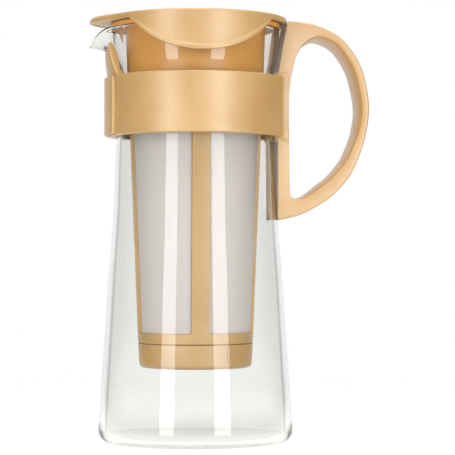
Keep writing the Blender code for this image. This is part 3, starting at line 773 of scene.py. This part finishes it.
def makeLidShell(material):
    size = lidSize
    top = lidHigh.z - size["crown"]
    under = top - size["thickness"]
    rimLow = under - size["rimDrop"]
    radius, edge = size["radius"], size["edge"]
    # each station has a kind, which says how it moves as the lid's outline turns
    outline, kinds = [], []

    def put(kind, *points):
        for point in points:
            outline.append(point)
            kinds.append(kind)

    put("still", (0, top + size["crown"]))
    for share in (0.2, 0.4, 0.6, 0.8):
        put("still", (radius * share, top + size["crown"] * (1 - share**2)))
    for index in range(9):
        put(("edge", index / 8), (radius - edge, top))
    for index in range(1, size["skirtRows"] + 1):
        put(("outer", index / size["skirtRows"]), (radius, top - edge))
    for index in range(5):
        put(("lip", index / 4), (radius, rimLow))
    for index in range(1, 10):
        put(("inner", index / 9), (radius - size["skirt"], under))
    ringOuter = strainerRadius(under - size["ringDepth"]) - strainerSize["wall"] - bandSize["gap"]
    ringInner = ringOuter - size["ringWall"]
    put("still", (ringOuter, under), (ringOuter, under - size["ringDepth"] + edge / 3),
        (ringOuter - edge / 3, under - size["ringDepth"]), (ringInner, under - size["ringDepth"]),
        (ringInner, under + size["recess"]), (0, under + size["recess"]))
    bm, stations = spunProfile(outline, size["turnSteps"], closed=False)
    for vert in bm.verts:
        kind = kinds[vert[stations]]
        if kind == "still":
            continue
        angle = math.atan2(-vert.co.y, -vert.co.x)
        turn = abs(angle)
        offset = turn / size["beakHalfAngle"]
        beak = math.cos(offset * math.pi / 2) ** 2 if offset < 1 else 0.0
        reach = radius + size["beakReach"] * beak
        roundness = edge + size["beakRound"] * beak
        lobe = lobeShare(turn)
        bottom = between(rimLow, lidLow.z, lobe)
        skirtTop = top - roundness
        dish, flare = size["lobeDish"] * lobe, size["lobeLip"] * lobe
        lipHigh = min(bottom + size["lobeLipHeight"], between(skirtTop, bottom, size["lobeLipShare"]))
        name, share = kind
        if name == "edge":
            place = (reach - roundness + roundness * quarterWave(share),
                     skirtTop + roundness * math.cos(share * math.pi / 2))
        elif name == "outer":
            height = between(skirtTop, bottom + size["lipEdge"] * 0.8, share)
            if height > lipHigh:
                fall = (skirtTop - height) / max(skirtTop - lipHigh, weldDistance)
                place = (reach - dish * quarterWave(fall), height)
            else:
                creased = max((lipHigh - bottom) * size["lobeCrease"], weldDistance)
                fall = min(1.0, (lipHigh - height) / creased)
                place = (reach - dish + flare * (fall**2 * (3 - 2 * fall)), height)
        elif name == "lip":
            angleDown = share * math.pi
            half = size["skirt"] / 2
            lipEdge = min(size["lipEdge"], (skirtTop - bottom) / 4)
            place = (reach - dish + flare - half + half * math.cos(angleDown),
                     bottom + lipEdge * (1 - math.sin(angleDown)))
        else:
            place = (reach - dish * (1 - share) + flare * max(0.0, 1 - 3 * share) - size["skirt"],
                     between(bottom + size["lipEdge"], under, share))
        vert.co = polar(place[0], angle, place[1])
    piece = finishedPiece("lidShell", bm, material, 40)
    standIn(piece, "lid", "lid")


# the strainer's frame: flange, collar, four ribs, ring and bayonet neck
strainerSize = {
    "topRadius": 35.0 * mm,
    "lowRadius": 28.65 * mm,
    "low": 49.2 * mm,
    "wall": 2.6 * mm,
    "flangeRadius": strainerHigh.y,
    "flangeThickness": 2.2 * mm,
    "rib": 8.5 * mm,
    "windowCorner": 1.1 * mm,
    "ringShoulder": 2.4 * mm,
    "neckWall": 1.8 * mm,
    "gap": 0.3 * mm,
    "edge": 0.3 * mm,
    "turnSteps": 180,
}
bayonetSize = {
    "capWall": 2.0 * mm,
    "turn": math.radians(40),
    "count": 4,
    "lugWidth": 6.5 * mm,
    "lugHeight": 1.8 * mm,
    "lugRise": 2.8 * mm,
    "lugReach": 1.9 * mm,
}


def strainerRadius(height):
    size = strainerSize
    share = (height - size["low"]) / (strainerHigh.z - size["low"])
    return between(size["lowRadius"], size["topRadius"], share)


capInner = strainerSize["lowRadius"] - bayonetSize["capWall"]
neckRadius = capInner - strainerSize["gap"]
lugSpan = bayonetSize["lugWidth"] / capInner
lugLow = strainerLow.z + bayonetSize["lugRise"]


def makeSector(name, inner, outer, low, high, starts, span, steps):  # curved blocks about the axis
    bm = bmesh.new()
    for start in starts:
        corners = [(inner, low), (outer, low), (outer, high), (inner, high)]
        verts = [bm.verts.new((radius * math.cos(start), radius * math.sin(start), height))
                 for radius, height in corners]
        face = bm.faces.new(verts)
        bmesh.ops.spin(bm, geom=[face], cent=(0, 0, 0), axis=(0, 0, 1), angle=span, steps=steps)
    return finishedPiece(name, bm)


def makeWindowTool():
    size = strainerSize
    near, far = size["rib"] / 2, size["topRadius"] + cutOverrun
    gap = size["gap"]
    low, high = windowLow.z - gap, windowHigh.z + gap
    bm = bmesh.new()
    for quarter in range(4):
        block = bmesh.ops.create_cube(bm, size=1.0)["verts"]
        for vert in block:
            vert.co = Vector((near if vert.co.x < 0 else far, near if vert.co.y < 0 else far,
                              low if vert.co.z < 0 else high))
        level = {edge for vert in block for edge in vert.link_edges
                 if abs(edge.verts[0].co.z - edge.verts[1].co.z) < cutOverrun}
        nearEdges = [edge for edge in level if all(abs(v.co.x - near) < mm for v in edge.verts)
                     or all(abs(v.co.y - near) < mm for v in edge.verts)]
        rounded = bmesh.ops.bevel(bm, geom=nearEdges, affect="EDGES", offset=size["windowCorner"],
                                  segments=6, profile=0.5, material=-1)
        verts = set(rounded["verts"]) | {vert for vert in block if vert.is_valid}
        verts = {other for vert in verts for face in vert.link_faces for other in face.verts}
        bmesh.ops.rotate(bm, verts=list(verts), cent=(0, 0, 0),
                         matrix=Matrix.Rotation(quarter * math.pi / 2, 3, "Z"))
    return finishedPiece("windowTool", bm)


def bayonetStarts():
    return [index * math.tau / bayonetSize["count"] for index in range(bayonetSize["count"])]


def makeStrainerFrame(material):
    size = strainerSize
    edge, high = size["edge"], strainerHigh.z
    flangeLow = high - size["flangeThickness"]
    neckInner = neckRadius - size["neckWall"]
    windowFoot = windowLow.z - size["gap"]
    flange = size["flangeRadius"]
    ringLow, neckLow = size["low"], strainerLow.z
    outline = [(flange - edge, high), (flange - edge / 3, high - edge / 3), (flange, high - edge),
               (flange, flangeLow + edge), (flange - edge / 3, flangeLow + edge / 3),
               (flange - edge, flangeLow), (strainerRadius(flangeLow) + edge, flangeLow),
               (strainerRadius(flangeLow), flangeLow - edge), (strainerRadius(windowHigh.z), windowHigh.z),
               (strainerRadius(windowFoot), windowFoot), (strainerRadius(ringLow + edge), ringLow + edge),
               (size["lowRadius"] - edge, ringLow), (neckRadius, ringLow), (neckRadius, neckLow + edge),
               (neckRadius - edge, neckLow), (neckInner, neckLow),
               (neckInner, ringLow + size["ringShoulder"]),
               (strainerRadius(windowFoot) - size["wall"], windowFoot),
               (strainerRadius(high) - size["wall"], high - edge),
               (strainerRadius(high) - size["wall"] + edge, high)]
    bm, _ = spunProfile(outline, size["turnSteps"])
    piece = finishedPiece("strainerFrame", bm)
    combine(piece, makeWindowTool(), "DIFFERENCE")
    slack = size["gap"] / capInner
    inner, outer = neckInner - cutOverrun, neckRadius + cutOverrun
    lugHeight, twist = bayonetSize["lugHeight"], bayonetSize["turn"]
    starts = [start - slack for start in bayonetStarts()]
    runs = makeSector("bayonetRun", inner, outer, lugLow - size["gap"], lugLow + lugHeight + size["gap"],
                      starts, lugSpan + twist + 2 * slack, 24)
    combine(piece, runs, "DIFFERENCE")
    entries = makeSector("bayonetEntry", inner, outer, neckLow - cutOverrun, lugLow + lugHeight / 2,
                         [start + twist for start in starts], lugSpan + 2 * slack, 6)
    combine(piece, entries, "DIFFERENCE")
    dressJoined(piece, material)
    standIn(piece, "strainer_frame", "strainer")


# the mesh cloth moulded into the frame's four windows
panelSize = {
    "columns": 40,
    "rows": 60,
    "thickness": 0.25 * mm,
    "recess": 0.9 * mm,
    "tuck": -0.2 * mm,
}


def makeMeshPanel(index, material):
    size = panelSize
    low, high = windowLow.z + size["tuck"], windowHigh.z - size["tuck"]
    bm = bmesh.new()
    bmesh.ops.create_grid(bm, x_segments=size["columns"], y_segments=size["rows"], size=1.0, calc_uvs=True)
    for vert in bm.verts:
        height = between(low, high, (vert.co.y + 1) / 2)
        radius = strainerRadius(height) - strainerSize["wall"] + size["recess"]
        margin = math.asin((strainerSize["rib"] / 2 + size["tuck"] + strainerSize["gap"]) / radius)
        angle = between(margin, math.pi / 2 - margin, (vert.co.x + 1) / 2) + index * math.pi / 2
        vert.co = Vector((radius * math.cos(angle), radius * math.sin(angle), height))
    bmesh.ops.recalc_face_normals(bm, faces=bm.faces)
    if bm.faces[:][0].normal.dot(bm.faces[:][0].calc_center_median().xy.to_3d()) < 0:
        bmesh.ops.reverse_faces(bm, faces=bm.faces)
    bmesh.ops.solidify(bm, geom=bm.faces[:], thickness=size["thickness"])
    piece = finishedPiece(f"meshCloth{index + 1}", bm, material)
    standIn(piece, f"mesh_panel_{index + 1}", "strainer")


# the twist-off cap under the strainer, with its bayonet lugs and grip ribs
capSize = {
    "taper": 0.6 * mm,
    "floor": 1.8 * mm,
    "edge": 2.2 * mm,
    "ribCount": 4,
    "ribWidth": 1.6 * mm,
    "ribProud": 0.5 * mm,
    "ribRise": 3.1 * mm,
    "ribTurn": math.radians(29),
    "turnSteps": 180,
}


def makeBottomCap(material):
    size = capSize
    edge, rim = size["edge"], strainerSize["edge"]
    high, wide = capHigh.z, strainerSize["lowRadius"]
    low = capLow.z
    lowRadius = wide - size["taper"]
    floorTop = low + size["floor"]
    outline = [Vector((0, low))] + arcPoints((lowRadius - edge, low + edge), edge, -1, 0, 10)
    outline += [Vector(point) for point in (
        (wide, high - rim), (wide - rim / 3, high - rim / 3), (wide - rim, high), (capInner, high))]
    outline += arcPoints((capInner - edge / 2, floorTop + edge / 2), edge / 2, 0, -1, 5)
    outline.append(Vector((0, floorTop)))
    bm, _ = spunProfile(outline, size["turnSteps"], closed=False)
    piece = finishedPiece("bottomCap", bm)
    lugs = makeSector("lugs", capInner - bayonetSize["lugReach"], capInner + bayonetSize["capWall"] / 2,
                      lugLow, lugLow + bayonetSize["lugHeight"], bayonetStarts(), lugSpan, 8)
    combine(piece, lugs, "UNION")
    half = size["ribWidth"] / 2 / wide
    firstRib = size["ribTurn"] - math.pi / 2 - half
    ribStarts = [firstRib + index * math.tau / size["ribCount"] for index in range(size["ribCount"])]
    ribs = makeSector("ribs", lowRadius - bayonetSize["capWall"] / 2, wide + size["ribProud"],
                      low + size["ribRise"], high - 2 * rim, ribStarts, 2 * half, 4)
    combine(piece, ribs, "UNION")
    dressJoined(piece, material)
    standIn(piece, "strainer_cap", "cap")


plastic = mouldedPolypropylene("mouldedPolypropylene", False)
# the strainer frame's copy has painted shade on its collar
shadedCollarPlastic = mouldedPolypropylene("mouldedPolypropyleneShadedCollar", True)
glass = blownBorosilicate("blownBorosilicate", False)
# the inside faces carry the painted dark line
insideGlass = blownBorosilicate("blownBorosilicateInside", True)
meshCloth = wovenPolyester()
print("stage: materials made")
makeGlassPot(glass, insideGlass)
print("stage: glass pot")
makeHandleBand(plastic)
makeClaspPlate(plastic)
print("stage: band, handle and clasp")
makeLidShell(plastic)
print("stage: lid")
makeStrainerFrame(shadedCollarPlastic)
makeBottomCap(plastic)
for panelIndex in range(4):
    makeMeshPanel(panelIndex, meshCloth)
print("stage: strainer")


# studio: a pale floor that fades into the white, two tall softboxes and one above and in front
studio = {
    "white": "#FFFFFF",
    "floor": "#F4F4F2",
    "floorRadius": 0.62,
    "fadeStart": 0.16,
    "fadeEnd": 0.5,
    "floorLift": 0.24,
    "footGlow": 0.16,
    "footShare": 0.8,
    "ambient": 0.25,
    "ambientBehind": 0.8,
    "roomLight": 0.12,
    "ceilingLight": 0.85,
    "ceilingEdge": 0.1,
    "ceilingFull": 0.7,
    "sweepEdge": 60.0,
    "sweepFull": 10.0,
    "boxDistance": 0.9,
    "leftBoxTurn": 33.0,
    "leftBoxWidth": 0.272,
    "rightBoxTurn": -31.3,
    "rightBoxWidth": 0.30,
    "boxLow": -0.2,
    "boxHigh": 0.46,
    "boxLight": 6.6,
    "topSize": 0.9,
    "topHeight": 0.95,
    "topForward": 0.3,
    "topLight": 2.4,
}

# camera fitted to the photograph, in metres, degrees and pixels of its 455 pixel frame
cameraFit = {
    "distance": 0.960,
    "height": 0.0902,
    "turn": 5.0,
    "focalPixels": 1920.0,
    "framePixels": 455.0,
    "axisPixel": (195.5, 260.6),
}


def makeFloor():
    look = studio
    material, tree = newMaterial("paleFloor")
    place = addNode(tree, "ShaderNodeTexCoord").outputs["Object"]
    distance = addNode(tree, "ShaderNodeVectorMath", {0: place}, operation="LENGTH").outputs["Value"]
    fade = addRange(tree, distance, look["fadeStart"], look["fadeEnd"], interpolation_type="SMOOTHSTEP")
    matt = addNode(tree, "ShaderNodeBsdfDiffuse", {"Color": hexColour(look["floor"])})
    # a little glow under the foot stands in for the light that real glass gathers there
    lift = addRange(tree, distance, potHigh.y * look["footShare"], potHigh.y,
                    look["floorLift"] + look["footGlow"], look["floorLift"], interpolation_type="SMOOTHSTEP")
    share = addNode(tree, "ShaderNodeMath", {0: seenDirectly(tree), 1: lift}, operation="MULTIPLY")
    glow = addNode(tree, "ShaderNodeEmission", {
        "Color": hexColour(look["white"]), "Strength": share.outputs[0]})
    lifted = addNode(tree, "ShaderNodeAddShader", {0: matt.outputs["BSDF"], 1: glow.outputs["Emission"]})
    clear = addNode(tree, "ShaderNodeBsdfTransparent")
    faded = addNode(tree, "ShaderNodeMixShader", {
        "Fac": fade, 1: lifted.outputs["Shader"], 2: clear.outputs["BSDF"]})
    addNode(tree, "ShaderNodeOutputMaterial", {"Surface": faded.outputs["Shader"]})
    bm = bmesh.new()
    bmesh.ops.create_circle(bm, cap_ends=True, segments=96, radius=look["floorRadius"])
    floor = finishedPiece("studioFloor", bm, material)


def seenDirectly(tree):  # 1 for what the camera, a reflection or the glass shows
    path = addNode(tree, "ShaderNodeLightPath").outputs
    first = addNode(tree, "ShaderNodeMath", {0: path["Is Camera Ray"], 1: path["Is Glossy Ray"]},
                    operation="MAXIMUM")
    both = addNode(tree, "ShaderNodeMath", {0: first.outputs[0], 1: path["Is Transmission Ray"]},
                   operation="MAXIMUM")
    straight = addNode(tree, "ShaderNodeMath", {0: 1.0, 1: path["Diffuse Depth"]}, operation="SUBTRACT",
                       use_clamp=True)
    return addNode(tree, "ShaderNodeMath", {0: both.outputs[0], 1: straight.outputs[0]},
                   operation="MULTIPLY").outputs[0]


def makeWorld():
    world = bpy.data.worlds.new("whiteStudio")
    bpy.context.scene.world = world
    world.use_nodes = True
    tree = world.node_tree
    tree.nodes.clear()
    # reflections show the white sweep behind the object and the darker room beside the camera
    turn = math.radians(cameraFit["turn"])
    direction = addNode(tree, "ShaderNodeTexCoord").outputs["Generated"]
    behind = addNode(tree, "ShaderNodeVectorMath", {
        0: direction, 1: (math.sin(turn), math.cos(turn), 0.0)}, operation="DOT_PRODUCT").outputs["Value"]
    sweep = addRange(tree, behind, math.cos(math.radians(studio["sweepEdge"])),
                     math.cos(math.radians(studio["sweepFull"])), studio["roomLight"],
                     interpolation_type="SMOOTHSTEP")
    upward = addNode(tree, "ShaderNodeSeparateXYZ", {"Vector": direction}).outputs["Z"]
    ceiling = addRange(tree, upward, studio["ceilingEdge"], studio["ceilingFull"], 0.0,
                       studio["ceilingLight"])
    around = addNode(tree, "ShaderNodeMath", {0: sweep, 1: ceiling}, operation="MAXIMUM").outputs[0]
    bounced = addNode(tree, "ShaderNodeLightPath").outputs["Glossy Depth"]
    reflected = addNode(tree, "ShaderNodeMath", {0: bounced, 1: 1.0}, operation="MINIMUM").outputs[0]
    shown = addNode(tree, "ShaderNodeMix", {"Factor": reflected, "A": 1.0, "B": around}).outputs["Result"]
    ambient = addRange(tree, behind, -1.0, 1.0, studio["ambient"], studio["ambientBehind"])
    strength = addNode(tree, "ShaderNodeMix", {
        "Factor": seenDirectly(tree), "A": ambient, "B": shown}).outputs["Result"]
    light = addNode(tree, "ShaderNodeBackground", {
        "Color": hexColour(studio["white"]), "Strength": strength})
    addNode(tree, "ShaderNodeOutputWorld", {"Surface": light.outputs["Background"]})


def makeSoftbox(name, place, aim, width, height, radiance):
    data = bpy.data.lights.new(name, "AREA")
    data.shape = "RECTANGLE"
    data.size, data.size_y = width, height
    data.energy = radiance * math.pi * width * height
    lamp = bpy.data.objects.new(name, data)
    lamp.location = place
    lamp.rotation_mode = "QUATERNION"
    lamp.rotation_quaternion = (Vector(aim) - Vector(place)).to_track_quat("-Z", "Y")
    lamp.visible_camera = False
    lamp.visible_transmission = False
    bpy.context.collection.objects.link(lamp)


def makeLights():
    look = studio
    middle = (look["boxLow"] + look["boxHigh"]) / 2
    for side in ("left", "right"):
        angle = math.radians(cameraFit["turn"] + look[side + "BoxTurn"])
        place = (-look["boxDistance"] * math.sin(angle), -look["boxDistance"] * math.cos(angle), middle)
        makeSoftbox(side + "Softbox", place, (0, 0, middle), look[side + "BoxWidth"],
                    look["boxHigh"] - look["boxLow"], look["boxLight"])
    angle = math.radians(cameraFit["turn"])
    above = (-look["topForward"] * math.sin(angle), -look["topForward"] * math.cos(angle), look["topHeight"])
    makeSoftbox("topSoftbox", above, (0, 0, 0), look["topSize"], look["topSize"], look["topLight"])


def makeCamera():
    fit = cameraFit
    turn = math.radians(fit["turn"])
    forward = Vector((math.sin(turn), math.cos(turn), 0))
    right = Vector((math.cos(turn), -math.sin(turn), 0))
    half = fit["framePixels"] / 2
    aim = (forward * fit["focalPixels"] + right * (half - fit["axisPixel"][0])
           + Vector((0, 0, fit["axisPixel"][1] - half)))
    data = bpy.data.cameras.new("photoCamera")
    data.sensor_width = 36.0
    data.lens = fit["focalPixels"] * data.sensor_width / fit["framePixels"]
    data.clip_start, data.clip_end = 0.05, 20.0
    camera = bpy.data.objects.new("photoCamera", data)
    camera.location = Vector((0, 0, fit["height"])) - forward * fit["distance"]
    camera.rotation_mode = "QUATERNION"
    camera.rotation_quaternion = aim.to_track_quat("-Z", "Y")
    bpy.context.collection.objects.link(camera)
    bpy.context.scene.camera = camera


makeFloor()
makeWorld()
makeLights()
makeCamera()
bpy.context.scene.view_settings.view_transform = "Standard"
print("stage: studio and camera")
